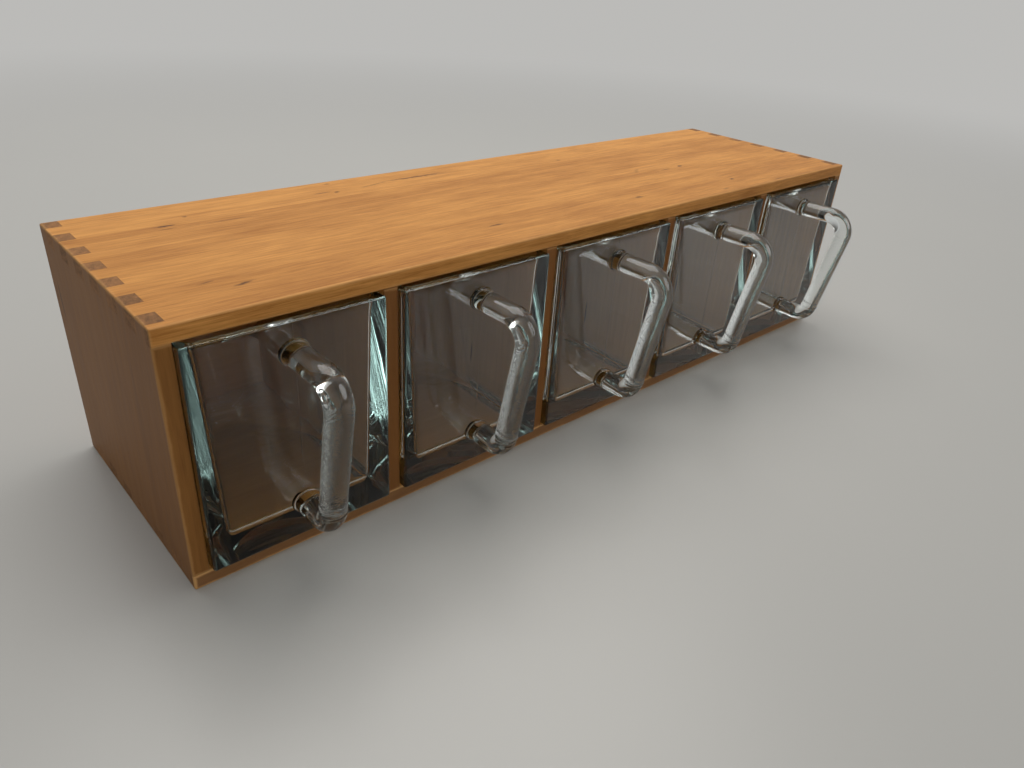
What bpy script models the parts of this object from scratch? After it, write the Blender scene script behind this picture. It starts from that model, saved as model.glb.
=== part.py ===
"""Spice cabinet: a finger-jointed wooden case that holds five pressed-glass scoops.

Metres, +Z up. The origin is the middle of the underside, and the front faces -Y.
"""

import math

import bmesh
import bpy
from mathutils import Matrix, Vector

# Case
CABINET_WIDTH = 0.530
CABINET_DEPTH = 0.146
CABINET_HEIGHT = 0.132
BOARD = 0.008
DIVIDER = 0.008
DRAWER_COUNT = 5
EASED_EDGE = 0.0006

# Finger joints, counted forward from the back edge
FINGER_WIDTH = 0.0103
FINGER_SPACE = 0.0116
FRONT_FINGER_LEAST = 0.003

# Stopped housings that hold the dividers
HOUSING_DEPTH = 0.002
HOUSING_STOP = 0.006

# Back panel in its rabbet, and the pins that hold it
BACK_PANEL = 0.004
RABBET_LIP = 0.003
PIN_DIAMETER = 0.0014
PIN_HEAD = 0.0024
PIN_HEAD_HEIGHT = 0.0008
PIN_LENGTH = 0.013
PIN_POINT = 0.002
PIN_SET = 0.0003
PINS_PER_SIDE = 2

# Clearances
JOINT_GAP = 0.0003
SIDE_CLEARANCE = 0.0005
TOP_CLEARANCE = 0.0015
REAR_CLEARANCE = 0.0005

# Glass scoop
FRONT_PROUD = 0.0035
SIDE_WALL = 0.0055
FRONT_WALL = 0.006
REAR_WALL = 0.006
FLOOR = 0.010
SIDE_DRAFT = math.radians(2.4)
FRONT_DRAFT = math.radians(1.0)
HEEL_RADIUS = 0.012
EDGE_ROUND = 0.0016
RIM_ROUND = 0.0013
RIM_FLARE = 0.0016
RIM_FALL = 0.0066
CAVITY_CORNER = 0.003
FLOOR_FILLET = 0.008

# Pouring spout at the rear of the scoop: two flanks that run to a rounded nose, and lean out
SPOUT_LEAN = math.radians(18.0)
SPOUT_FLANK = math.radians(47.5)
SHOULDER_RADIUS = 0.034
NOSE_RADIUS = 0.030

# Handle of the scoop: a bent glass rod, oval in section
ROD_WIDTH = 0.0136
ROD_DEPTH = 0.011
LOWER_FOOT_HEIGHT = 0.0203
UPPER_FOOT_DROP = 0.0147
LOWER_REACH = 0.0238
UPPER_REACH = 0.0385
LOWER_BEND = 0.0085
UPPER_BEND = 0.012
COLLAR_GROWTH = 0.0009
COLLAR_LENGTH = 0.002
ROOT_DEPTH = 0.002

# Facets
CORNER_STEPS = 3
NOSE_STEPS = 6
FILLET_STEPS = 4
ROUND_STEPS = 3
ROD_SIDES = 12
BEND_STEPS = 6
PIN_SIDES = 8

# Cutters reach this far past the faces that they cut
OVERSHOOT = 0.002
SHARP_ANGLE = math.radians(35.0)
LEAST_RADIUS = 0.0006

# Places that follow from the sizes above
RIGHT = CABINET_WIDTH / 2
BACK = CABINET_DEPTH / 2
FRONT = -BACK
UNDER_TOP = CABINET_HEIGHT - BOARD
INNER_RIGHT = RIGHT - BOARD
BAY_WIDTH = (2 * INNER_RIGHT - (DRAWER_COUNT - 1) * DIVIDER) / DRAWER_COUNT
BAY_PITCH = BAY_WIDTH + DIVIDER
RABBET_WIDTH = BOARD - RABBET_LIP
PANEL_FRONT = BACK - BACK_PANEL
LEDGE = PANEL_FRONT - JOINT_GAP
SCOOP_WIDTH = BAY_WIDTH - 2 * SIDE_CLEARANCE
SCOOP_HEIGHT = UNDER_TOP - BOARD - JOINT_GAP - TOP_CLEARANCE
SCOOP_LENGTH = PANEL_FRONT - REAR_CLEARANCE - FRONT + FRONT_PROUD


def clear_scene():
    """Remove whatever the scene holds."""
    for old in list(bpy.data.objects):
        bpy.data.objects.remove(old, do_unlink=True)


def finish(name, colour, roughness, metallic=0.0, transmission=0.0):
    """One plain surface finish."""
    material = bpy.data.materials.new(name)
    material.use_nodes = True
    shader = material.node_tree.nodes["Principled BSDF"]
    shader.inputs["Base Color"].default_value = (*colour, 1.0)
    shader.inputs["Roughness"].default_value = roughness
    shader.inputs["Metallic"].default_value = metallic
    shader.inputs["Transmission Weight"].default_value = transmission
    material.diffuse_color = (*colour, 1.0)
    return material


def mesh_from(bm, name):
    """Turn a bmesh into a closed mesh whose faces point out."""
    bmesh.ops.recalc_face_normals(bm, faces=bm.faces)
    mesh = bpy.data.meshes.new(name)
    bm.to_mesh(mesh)
    bm.free()
    return mesh


def place(name, mesh, material, location=(0.0, 0.0, 0.0)):
    """Put a mesh into the scene as a named piece."""
    piece = bpy.data.objects.new(name, mesh)
    piece.location = location
    if material is not None and not mesh.materials:
        mesh.materials.append(material)
    bpy.context.scene.collection.objects.link(piece)
    return piece


def add_box(bm, low, high):
    """Add the box between two opposite corners."""
    low = Vector(low)
    high = Vector(high)
    matrix = Matrix.Translation((low + high) / 2) @ Matrix.Diagonal((*(high - low), 1.0))
    bmesh.ops.create_cube(bm, size=1.0, matrix=matrix)


def board(name, low, high, material):
    """A planed board between two corners, its arrises eased, with its origin at its middle."""
    centre = (Vector(low) + Vector(high)) / 2
    bm = bmesh.new()
    add_box(bm, Vector(low) - centre, Vector(high) - centre)
    piece = place(name, mesh_from(bm, name), material, centre)
    ease_edges(piece)
    return piece


def ease_edges(piece):
    """Take the sharp edge off every arris."""
    ease = piece.modifiers.new("eased edges", "BEVEL")
    ease.width = EASED_EDGE
    ease.segments = 1
    ease.limit_method = "ANGLE"


def cutter(name, boxes):
    """A tool made of separate boxes, each given by two corners."""
    bm = bmesh.new()
    for low, high in boxes:
        add_box(bm, low, high)
    return hide_tool(place(name, mesh_from(bm, name), None))


def hide_tool(piece):
    """Show a cutting tool as wires only."""
    piece.hide_render = True
    piece.display_type = "WIRE"
    return piece


def cut(piece, tool):
    """Cut a tool's shape out of a piece."""
    change = piece.modifiers.new(tool.name, "BOOLEAN")
    change.operation = "DIFFERENCE"
    change.object = tool


# Finger joints

def side_fingers():
    """Front and back of each side-board finger, the first one at the back corner."""
    spans = []
    back = BACK
    while back - FINGER_WIDTH - FRONT_FINGER_LEAST >= FRONT:
        spans.append((back - FINGER_WIDTH, back))
        back -= FINGER_WIDTH + FINGER_SPACE
    return spans


def spaces_between_fingers():
    """Front and back of each space that a finger of the top or bottom board fills."""
    spans = side_fingers()
    fronts = [span[0] for span in spans]
    backs = [span[1] for span in spans[1:]] + [FRONT - OVERSHOOT]
    return list(zip(backs, fronts))


def board_notches():
    """Notches at both ends of the top and bottom boards, which the side fingers fill."""
    boxes = []
    for front, back in side_fingers():
        reach_back = back + (OVERSHOOT if back == BACK else JOINT_GAP)
        for inner, outer in ((INNER_RIGHT - JOINT_GAP, RIGHT + OVERSHOOT),
                             (-RIGHT - OVERSHOOT, -INNER_RIGHT + JOINT_GAP)):
            boxes.append(((inner, front - JOINT_GAP, -OVERSHOOT),
                          (outer, reach_back, CABINET_HEIGHT + OVERSHOOT)))
    return cutter("finger notches of the long boards", boxes)


def side_notches():
    """Notches at the upper and lower ends of the side boards."""
    boxes = []
    for front, back in spaces_between_fingers():
        for low, high in ((-OVERSHOOT, BOARD + JOINT_GAP),
                          (UNDER_TOP - JOINT_GAP, CABINET_HEIGHT + OVERSHOOT)):
            boxes.append(((-RIGHT - OVERSHOOT, front, low), (RIGHT + OVERSHOOT, back, high)))
    return cutter("finger notches of the sides", boxes)


# Dividers and their housings

def bay_centres():
    """Middle of each drawer bay along X."""
    first = -INNER_RIGHT + BAY_WIDTH / 2
    return [first + index * BAY_PITCH for index in range(DRAWER_COUNT)]


def divider_centres():
    """Middle of each divider along X."""
    return [centre + BAY_PITCH / 2 for centre in bay_centres()[:-1]]


def housings():
    """Grooves in the top and bottom boards, stopped short of the front edge."""
    boxes = []
    start = FRONT + HOUSING_STOP - JOINT_GAP
    half = DIVIDER / 2 + JOINT_GAP
    for x in divider_centres():
        for low, high in ((BOARD - HOUSING_DEPTH, BOARD + OVERSHOOT),
                          (UNDER_TOP - OVERSHOOT, UNDER_TOP + HOUSING_DEPTH)):
            boxes.append(((x - half, start, low), (x + half, LEDGE + JOINT_GAP, high)))
    return cutter("divider housings", boxes)


def divider_mesh():
    """A divider: its tongues reach into the housings and stop behind the front edge."""
    middle = CABINET_HEIGHT / 2
    shoulder = middle - BOARD - JOINT_GAP
    tongue = shoulder + HOUSING_DEPTH
    outline = [(FRONT, -shoulder), (FRONT + HOUSING_STOP, -shoulder), (FRONT + HOUSING_STOP, -tongue),
               (LEDGE, -tongue), (LEDGE, tongue), (FRONT + HOUSING_STOP, tongue),
               (FRONT + HOUSING_STOP, shoulder), (FRONT, shoulder)]
    bm = bmesh.new()
    face = bm.faces.new([bm.verts.new((-DIVIDER / 2, y, z)) for y, z in outline])
    grown = bmesh.ops.extrude_face_region(bm, geom=[face])["geom"]
    moved = [item for item in grown if isinstance(item, bmesh.types.BMVert)]
    bmesh.ops.translate(bm, vec=(DIVIDER, 0.0, 0.0), verts=moved)
    return mesh_from(bm, "divider")


# Back panel and its pins

def rabbet():
    """The recess around the back opening, cut after the case is glued up."""
    reach = INNER_RIGHT + RABBET_WIDTH
    return cutter("rabbet", [((-reach, LEDGE, BOARD - RABBET_WIDTH),
                              (reach, BACK + OVERSHOOT, UNDER_TOP + RABBET_WIDTH))])


def back_panel(material):
    """The thin panel that closes the back, flush with the boards."""
    reach = INNER_RIGHT + RABBET_WIDTH - JOINT_GAP
    low = (-reach, PANEL_FRONT, BOARD - RABBET_WIDTH + JOINT_GAP)
    high = (reach, BACK, UNDER_TOP + RABBET_WIDTH - JOINT_GAP)
    return board("back_panel", low, high, material)


def pin_places():
    """Where the pins go in: one above and below each bay, and a few down each side."""
    inset = RABBET_WIDTH / 2
    back = BACK - PIN_SET
    places = []
    for x in bay_centres():
        places.append((x, back, UNDER_TOP + inset))
        places.append((x, back, BOARD - inset))
    clear_height = UNDER_TOP - BOARD
    for index in range(PINS_PER_SIDE):
        z = BOARD + clear_height * (index + 1) / (PINS_PER_SIDE + 1)
        places.append((-INNER_RIGHT - inset, back, z))
        places.append((INNER_RIGHT + inset, back, z))
    return places


def turn_pin(bm, origin, room):
    """Turn one pin about its axis along Y; with room around it, it is the hole that the pin fills."""
    start = -OVERSHOOT if room else 0.0
    head = PIN_HEAD / 2 + room
    shank = PIN_DIAMETER / 2 + room
    profile = [(0.0, start), (head, start), (head, PIN_HEAD_HEIGHT + room), (shank, PIN_HEAD_HEIGHT + room),
               (shank, PIN_LENGTH - PIN_POINT + room), (0.0, PIN_LENGTH + room)]
    points = [bm.verts.new(Vector(origin) + Vector((radius, -depth, 0.0))) for radius, depth in profile]
    edges = [bm.edges.new(pair) for pair in zip(points, points[1:])]
    bmesh.ops.spin(bm, geom=points + edges, cent=origin, axis=(0.0, 1.0, 0.0),
                   angle=2 * math.pi, steps=PIN_SIDES, use_merge=True)


def pin_mesh(places, room, name):
    """Pins, or the holes for them, at the given places."""
    bm = bmesh.new()
    for origin in places:
        turn_pin(bm, origin, room)
    bmesh.ops.remove_doubles(bm, verts=bm.verts, dist=LEAST_RADIUS / 100)
    return mesh_from(bm, name)


# Glass scoop, lofted through level sections from its underside over the rim and down to its floor

def quarter_steps(count):
    """Even angles from 0 to a right angle."""
    return [math.pi / 2 * step / count for step in range(count + 1)]


def spout_tip(z):
    """Outer tip of the leaning spout at a height."""
    return SCOOP_LENGTH - (SCOOP_HEIGHT - z) * math.tan(SPOUT_LEAN)


def heel_heights():
    """Heights up the rounded heel, from the underside to where it meets the spout."""
    share = 1 - SPOUT_LEAN / (math.pi / 2)
    return [HEEL_RADIUS * (1 - math.cos(angle * share)) for angle in quarter_steps(FILLET_STEPS)]


def outer_tip(z):
    """Outer tip of the spout at a height, heel included."""
    if z >= heel_heights()[-1]:
        return spout_tip(z)
    heel_start = spout_tip(0.0) - HEEL_RADIUS * math.tan((math.pi / 2 - SPOUT_LEAN) / 2)
    return heel_start + math.sqrt(HEEL_RADIUS ** 2 - (HEEL_RADIUS - z) ** 2)


def section(z, wall, inset):
    """One level section: height, half width, front, tip, and the radii of corner, shoulder and nose."""
    half, front, tip, corner, shoulder, nose = wall
    return (z, half - inset, front + inset, tip - inset,
            max(corner - inset, LEAST_RADIUS), shoulder - inset, nose - inset)


def outer_wall(z):
    """The scoop's outside at a height."""
    return (SCOOP_WIDTH / 2, 0.0, outer_tip(z), EDGE_ROUND, SHOULDER_RADIUS, NOSE_RADIUS)


def cavity_wall(z):
    """The scoop's inside at a height: it narrows toward the floor, so that the plunger draws out."""
    drop = SCOOP_HEIGHT - z
    half = SCOOP_WIDTH / 2 - SIDE_WALL - drop * math.tan(SIDE_DRAFT)
    front = FRONT_WALL + drop * math.tan(FRONT_DRAFT)
    tip = spout_tip(z) - REAR_WALL / math.cos(SPOUT_LEAN)
    return (half, front, tip, CAVITY_CORNER, SHOULDER_RADIUS - SIDE_WALL, NOSE_RADIUS - REAR_WALL)


def underside_sections():
    """The rounded lower edge and the heel."""
    heights = {EDGE_ROUND * (1 - math.cos(angle)) for angle in quarter_steps(ROUND_STEPS)}
    heights |= set(heel_heights())
    sections = []
    for z in sorted(heights):
        rise = max(EDGE_ROUND - z, 0.0)
        inset = EDGE_ROUND - math.sqrt(EDGE_ROUND ** 2 - rise ** 2)
        half, front, tip, corner, shoulder, nose = outer_wall(z)
        sections.append(section(z, (half, front, tip + inset, corner, shoulder, nose), inset))
    return sections


def rim_sections():
    """Over the rim: rounded on both sides, then a short flare down to the drafted wall."""
    sections = []
    for angle in quarter_steps(ROUND_STEPS):
        z = SCOOP_HEIGHT - RIM_ROUND * (1 - math.sin(angle))
        sections.append(section(z, outer_wall(z), RIM_ROUND * (1 - math.cos(angle))))
    for angle in reversed(quarter_steps(ROUND_STEPS)):
        z = SCOOP_HEIGHT - RIM_ROUND * (1 - math.sin(angle))
        sections.append(section(z, cavity_wall(z), -RIM_FLARE - RIM_ROUND * (1 - math.cos(angle))))
    z = SCOOP_HEIGHT - RIM_FALL
    sections.append(section(z, cavity_wall(z), 0.0))
    return sections


def floor_sections():
    """Down the fillet to the flat floor of the cavity."""
    sections = []
    for angle in quarter_steps(FILLET_STEPS):
        z = FLOOR + FLOOR_FILLET * (1 - math.sin(angle))
        sections.append(section(z, cavity_wall(z), FLOOR_FILLET * (1 - math.cos(angle))))
    return sections


def section_arcs(level):
    """The rounded corners of one level section: centre, radius, first and last angle, and steps."""
    _, half, front, tip, corner, shoulder, nose = level
    turn = math.pi / 2 - SPOUT_FLANK
    apex = tip - nose + nose / math.sin(turn)
    tangent = apex - half * math.tan(SPOUT_FLANK) - shoulder * math.tan(turn / 2)
    return [((half - corner, front + corner), corner, -math.pi / 2, 0.0, CORNER_STEPS),
            ((half - shoulder, tangent), shoulder, 0.0, turn, CORNER_STEPS),
            ((0.0, tip - nose), nose, turn, math.pi - turn, NOSE_STEPS),
            ((shoulder - half, tangent), shoulder, math.pi - turn, math.pi, CORNER_STEPS),
            ((corner - half, front + corner), corner, math.pi, math.pi * 3 / 2, CORNER_STEPS)]


def section_ring(bm, level):
    """The vertices of one level section, counter-clockwise from above."""
    ring = []
    for (x, y), radius, first, last, steps in section_arcs(level):
        for step in range(steps + 1):
            angle = first + (last - first) * step / steps
            spot = (x + radius * math.cos(angle), y + radius * math.sin(angle), level[0])
            ring.append(bm.verts.new(spot))
    return ring


def loft(bm, rings):
    """Skin a run of rings and close both ends."""
    for lower, upper in zip(rings, rings[1:]):
        count = len(lower)
        for index in range(count):
            following = (index + 1) % count
            bm.faces.new((lower[index], lower[following], upper[following], upper[index]))
    bm.faces.new(reversed(rings[0]))
    bm.faces.new(rings[-1])


def scoop_bowl():
    """The bowl of the scoop, without its handle. Its origin is the foot of the front face."""
    bm = bmesh.new()
    levels = underside_sections() + rim_sections() + floor_sections()
    loft(bm, [section_ring(bm, level) for level in levels])
    return mesh_from(bm, "scoop bowl")


# Handle

def bend(before, corner, after, radius):
    """Points round a bend between two straight runs."""
    to_before = (before - corner).normalized()
    to_after = (after - corner).normalized()
    half_angle = to_before.angle(to_after) / 2
    centre = corner + (to_before + to_after).normalized() * radius / math.sin(half_angle)
    start = (corner + to_before * radius / math.tan(half_angle) - centre).normalized()
    end = (corner + to_after * radius / math.tan(half_angle) - centre).normalized()
    return [centre + start.slerp(end, step / BEND_STEPS) * radius for step in range(BEND_STEPS + 1)]


def collar_stations():
    """Distance from the front face and added radius along a foot of the handle."""
    flare = [(COLLAR_LENGTH * (1 + math.sin(angle)) / 2, COLLAR_GROWTH * math.cos(angle))
             for angle in quarter_steps(ROUND_STEPS)]
    return [(-ROOT_DEPTH, COLLAR_GROWTH)] + flare


def handle_stations():
    """Centre points of the rod in the YZ plane, each with the radius that the collar adds."""
    upper = SCOOP_HEIGHT - UPPER_FOOT_DROP
    lower = LOWER_FOOT_HEIGHT
    upper_foot = Vector((0.0, 0.0, upper))
    lower_foot = Vector((0.0, 0.0, lower))
    upper_corner = Vector((0.0, -UPPER_REACH, upper))
    lower_corner = Vector((0.0, -LOWER_REACH, lower))
    stations = [(upper_foot - Vector((0.0, out, 0.0)), growth) for out, growth in collar_stations()]
    stations += [(point, 0.0) for point in bend(upper_foot, upper_corner, lower_corner, UPPER_BEND)]
    stations += [(point, 0.0) for point in bend(upper_corner, lower_corner, lower_foot, LOWER_BEND)]
    stations += [(lower_foot - Vector((0.0, out, 0.0)), growth)
                 for out, growth in reversed(collar_stations())]
    return stations


def rod():
    """The bent rod, with its ends sunk into the front wall."""
    bm = bmesh.new()
    stations = handle_stations()
    across = Vector((1.0, 0.0, 0.0))
    rings = []
    for index, (centre, growth) in enumerate(stations):
        before = stations[max(index - 1, 0)][0]
        after = stations[min(index + 1, len(stations) - 1)][0]
        outward = (after - before).normalized().cross(across)
        ring = []
        for side in range(ROD_SIDES):
            turn = 2 * math.pi * side / ROD_SIDES
            offset = across * (ROD_WIDTH / 2 + growth) * math.cos(turn)
            offset += outward * (ROD_DEPTH / 2 + growth) * math.sin(turn)
            ring.append(bm.verts.new(centre + offset))
        rings.append(ring)
    loft(bm, rings)
    return mesh_from(bm, "scoop handle")


def scoop_mesh(material):
    """Bowl and handle pressed as one piece of glass."""
    bowl = place("scoop bowl", scoop_bowl(), material)
    handle = place("scoop handle", rod(), material)
    joined = bowl.modifiers.new("one pressing", "BOOLEAN")
    joined.operation = "UNION"
    joined.object = handle
    bpy.context.view_layer.update()
    view = bpy.context.evaluated_depsgraph_get()
    mesh = bpy.data.meshes.new_from_object(bowl.evaluated_get(view))
    mesh.name = "glass scoop"
    mesh.shade_smooth()
    mesh.set_sharp_from_angle(angle=SHARP_ANGLE)
    for tool in (bowl, handle):
        bpy.data.objects.remove(tool, do_unlink=True)
    return mesh


# Assembly

def build_case(wood, panel_wood, steel):
    """Boards, dividers, back panel and pins."""
    top = board("top_board", (-RIGHT, FRONT, UNDER_TOP), (RIGHT, BACK, CABINET_HEIGHT), wood)
    bottom = board("bottom_board", (-RIGHT, FRONT, 0.0), (RIGHT, BACK, BOARD), wood)
    left = board("left_side", (-RIGHT, FRONT, 0.0), (-INNER_RIGHT, BACK, CABINET_HEIGHT), wood)
    right = board("right_side", (INNER_RIGHT, FRONT, 0.0), (RIGHT, BACK, CABINET_HEIGHT), wood)
    panel = back_panel(panel_wood)

    notches = board_notches()
    grooves = housings()
    for piece in (top, bottom):
        cut(piece, notches)
        cut(piece, grooves)
    side_tool = side_notches()
    for piece in (left, right):
        cut(piece, side_tool)
    recess = rabbet()
    pin_holes = hide_tool(place("pin holes", pin_mesh(pin_places(), JOINT_GAP, "pin holes"), None))
    for piece in (top, bottom, left, right):
        cut(piece, recess)
        cut(piece, pin_holes)
    cut(panel, pin_holes)

    shared = divider_mesh()
    for index, x in enumerate(divider_centres(), start=1):
        ease_edges(place(f"divider_{index}", shared, wood, (x, 0.0, CABINET_HEIGHT / 2)))

    pin = pin_mesh([(0.0, 0.0, 0.0)], 0.0, "panel pin")
    pin.shade_smooth()
    pin.set_sharp_from_angle(angle=SHARP_ANGLE)
    for index, where in enumerate(pin_places(), start=1):
        place(f"panel_pin_{index:02d}", pin, steel, where)


def build_scoops(glass):
    """Five scoops, each with its origin at the foot of its front face, on its line of travel."""
    shared = scoop_mesh(glass)
    for index, x in enumerate(bay_centres(), start=1):
        place(f"glass_drawer_{index}", shared, glass, (x, FRONT - FRONT_PROUD, BOARD + JOINT_GAP))


def main():
    clear_scene()
    wood = finish("oiled fruit wood", (0.47, 0.24, 0.08), 0.45)
    panel_wood = finish("back panel wood", (0.36, 0.20, 0.09), 0.6)
    steel = finish("pin steel", (0.55, 0.55, 0.55), 0.35, metallic=1.0)
    glass = finish("pressed glass", (0.85, 0.93, 0.90), 0.05, transmission=1.0)
    build_case(wood, panel_wood, steel)
    build_scoops(glass)


main()
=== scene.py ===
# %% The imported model
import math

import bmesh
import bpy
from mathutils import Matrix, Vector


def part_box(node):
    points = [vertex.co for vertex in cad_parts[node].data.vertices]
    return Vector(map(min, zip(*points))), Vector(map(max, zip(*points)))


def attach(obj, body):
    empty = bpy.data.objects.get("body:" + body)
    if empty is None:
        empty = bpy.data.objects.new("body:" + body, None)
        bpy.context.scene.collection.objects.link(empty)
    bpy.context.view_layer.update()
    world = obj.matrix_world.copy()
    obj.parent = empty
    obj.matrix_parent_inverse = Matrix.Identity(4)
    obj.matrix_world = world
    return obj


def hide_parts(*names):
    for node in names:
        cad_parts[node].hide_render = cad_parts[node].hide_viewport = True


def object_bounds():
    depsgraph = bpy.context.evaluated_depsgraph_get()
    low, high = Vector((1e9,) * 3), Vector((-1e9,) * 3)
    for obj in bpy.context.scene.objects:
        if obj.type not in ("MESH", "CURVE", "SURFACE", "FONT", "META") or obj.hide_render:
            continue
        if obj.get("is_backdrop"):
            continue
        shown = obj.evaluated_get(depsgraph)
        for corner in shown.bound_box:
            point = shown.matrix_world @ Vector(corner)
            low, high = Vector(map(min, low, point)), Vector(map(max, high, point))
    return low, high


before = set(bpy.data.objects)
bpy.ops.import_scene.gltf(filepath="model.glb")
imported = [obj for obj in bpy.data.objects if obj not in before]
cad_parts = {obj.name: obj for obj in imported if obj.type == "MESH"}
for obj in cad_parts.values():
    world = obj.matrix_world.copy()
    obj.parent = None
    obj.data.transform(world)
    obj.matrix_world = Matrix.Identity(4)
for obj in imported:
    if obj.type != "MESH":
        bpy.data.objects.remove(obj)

# %% [markdown]
# # A spice cabinet with five glass scoops
#
# The object is a low case of honey-coloured wood, finger-jointed at its corners, with five pressed-glass
# scoops that slide in it like drawers. The imported model gives every piece its place and its travel. This
# lesson dresses it: fine meshes for the boards and the glass, procedural wood, glass and steel, and a
# quiet studio. The dressed model has to stay inside the box of the imported one.

scene = bpy.context.scene
scene.view_settings.view_transform = "Standard"
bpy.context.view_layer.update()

# %% [markdown]
# ## Camera
#
# The picture was taken from the front left and from above, with the camera tipped a little to one side.
# The position and the three angles below were worked out from the corners of the case. A camera can be
# aimed with a constraint, but a constraint knows nothing of the tip, so the three axes of the camera are
# built by hand.

# %% Camera at the viewing angle of the picture
CAMERA_PLACE = Vector((-0.34354, -0.35479, 0.26561))
CAMERA_TURN = math.radians(43.595)
CAMERA_DIP = math.radians(29.404)
CAMERA_TIP = math.radians(4.107)
SENSOR_WIDTH, LENS, NEAREST = 36.0, 27.334, 0.01

forward = Vector((math.sin(CAMERA_TURN) * math.cos(CAMERA_DIP),
                  math.cos(CAMERA_TURN) * math.cos(CAMERA_DIP), -math.sin(CAMERA_DIP)))
level = Vector((math.cos(CAMERA_TURN), -math.sin(CAMERA_TURN), 0.0))
right = level * math.cos(CAMERA_TIP) + level.cross(forward) * math.sin(CAMERA_TIP)
axes = Matrix((right, right.cross(forward), -forward)).transposed()

camera = bpy.data.objects.new("camera", bpy.data.cameras.new("camera"))
camera.matrix_world = Matrix.Translation(CAMERA_PLACE) @ axes.to_4x4()
camera.data.sensor_fit = "HORIZONTAL"
camera.data.sensor_width = SENSOR_WIDTH
camera.data.lens = LENS
camera.data.clip_start = NEAREST
scene.collection.objects.link(camera)
scene.camera = camera
print("camera looks along", [round(part, 3) for part in forward])

# %% [markdown]
# ## Node helpers
#
# Every finish below is a net of shader nodes. Written out in full, each node takes four or five lines, so
# one helper adds a node and another fills its sockets: a number or a colour is set on the socket, and a
# socket is linked to it.

# %% Helpers that add shader nodes
def fill(node, sockets):
    """Fill input sockets of a node: a value is set, and another socket is linked."""
    for socket, value in sockets.items():
        if isinstance(value, bpy.types.NodeSocket):
            node.id_data.links.new(value, node.inputs[socket])
        else:
            node.inputs[socket].default_value = value


def add_node(tree, kind, sockets=None, **settings):
    """Add a shader node, set its options, then fill its sockets."""
    made = tree.nodes.new("ShaderNode" + kind)
    for option, value in settings.items():
        setattr(made, option, value)
    fill(made, sockets or {})
    return made


def calculate(tree, operation, *numbers):
    """A Math node on one, two or three numbers."""
    return add_node(tree, "Math", dict(enumerate(numbers)), operation=operation).outputs[0]


def linear(tree, value, slope, start):
    """A number times a slope, plus a start."""
    return calculate(tree, "MULTIPLY_ADD", value, slope, start)


def product(tree, first, *others):
    """Numbers multiplied with each other."""
    for other in others:
        first = calculate(tree, "MULTIPLY", first, other)
    return first


def step_between(tree, value, low, high, start=0.0, end=1.0):
    """A soft step: start below low, end above high."""
    sockets = {"Value": value, "From Min": low, "From Max": high, "To Min": start, "To Max": end}
    return add_node(tree, "MapRange", sockets, interpolation_type="SMOOTHSTEP").outputs["Result"]


def blend_colours(tree, share, first, second, way="MIX"):
    """Two colours mixed by a share from 0 to 1."""
    made = add_node(tree, "Mix", {0: share, 6: first, 7: second}, data_type="RGBA", blend_type=way)
    return made.outputs[2]


def split(tree, vector):
    """The three parts of a vector."""
    return add_node(tree, "SeparateXYZ", {0: vector}).outputs


def in_waves(tree, spot, waves):
    """A place, counted in waves per metre along each axis."""
    return add_node(tree, "Mapping", {"Vector": spot, "Scale": waves}).outputs[0]


def noise(tree, spot, waves, detail=2.0, roughness=0.5):
    """Soft noise, with so many waves per metre along each axis."""
    sockets = {"Vector": in_waves(tree, spot, waves), "Scale": 1.0, "Detail": detail,
               "Roughness": roughness}
    return add_node(tree, "TexNoise", sockets).outputs[0]


def new_group(name, inputs, outputs):
    """An empty node group with named sockets."""
    group = bpy.data.node_groups.new(name, "ShaderNodeTree")
    for socket, kind, value in inputs:
        made = group.interface.new_socket(socket, in_out="INPUT", socket_type=kind)
        if value is not None:
            made.default_value = value
    for socket, kind in outputs:
        group.interface.new_socket(socket, in_out="OUTPUT", socket_type=kind)
    return group, group.nodes.new("NodeGroupInput").outputs, group.nodes.new("NodeGroupOutput")


def new_material(name, display_colour):
    """A material with its Principled shader, and the colour that the viewport shows."""
    material = bpy.data.materials.new(name)
    material.use_nodes = True
    material.diffuse_color = (*display_colour, 1.0)
    return material, material.node_tree, material.node_tree.nodes["Principled BSDF"]


print("node helpers are ready")

# %% [markdown]
# ## Wood grain
#
# The boards are glued up from narrow staves of a honey-coloured fruit wood. Each stave has its own tone
# and its own run of growth rings, with fine fibres, short pores and now and then a dark gum streak along
# the grain. A picture of wood would show the same on every side of a board. A solid pattern in three
# directions is better: where a board is cut across its grain, the same rings and pores come out as end
# grain, as in the real wood. All four boards and the dividers use it, so it is a node group.

# %% Node group: grain of a plank
# Waves per metre along the grain and twice across it.
BENDS, SWAYS, CLOUDS = (8.0, 12.0, 12.0), (3.5, 16.0, 16.0), (18.0, 70.0, 70.0)
FIBRES, HAIRS, PORES = (26.0, 620.0, 620.0), (65.0, 2000.0, 2000.0), (130.0, 2600.0, 2600.0)
STREAKS = (7.5, 105.0, 105.0)
# A growth ring every 4.3 mm, in radians per metre, and how far the rings sway.
RING_ANGLE, RING_SWAY = 1450.0, 26.0
# In metres: how far apart in the tree two staves may come from, and where the heart of the tree lies.
STAVE_APART, HEART_SPREAD, HEART_DEPTH, HEART_LEAST = (3.0, 0.9, 0.4), 0.10, 0.05, 0.03
STAVE_JITTER, FIBRE_BEND, PORE_EDGE = 0.12, 0.008, (0.60, 0.72)
STREAK_SIZE, STREAK_LEAST, STREAK_FRAY, STREAK_EDGE, STREAK_COVER = 0.07, 0.025, 0.10, (0.45, 1.0), 0.9
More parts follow.
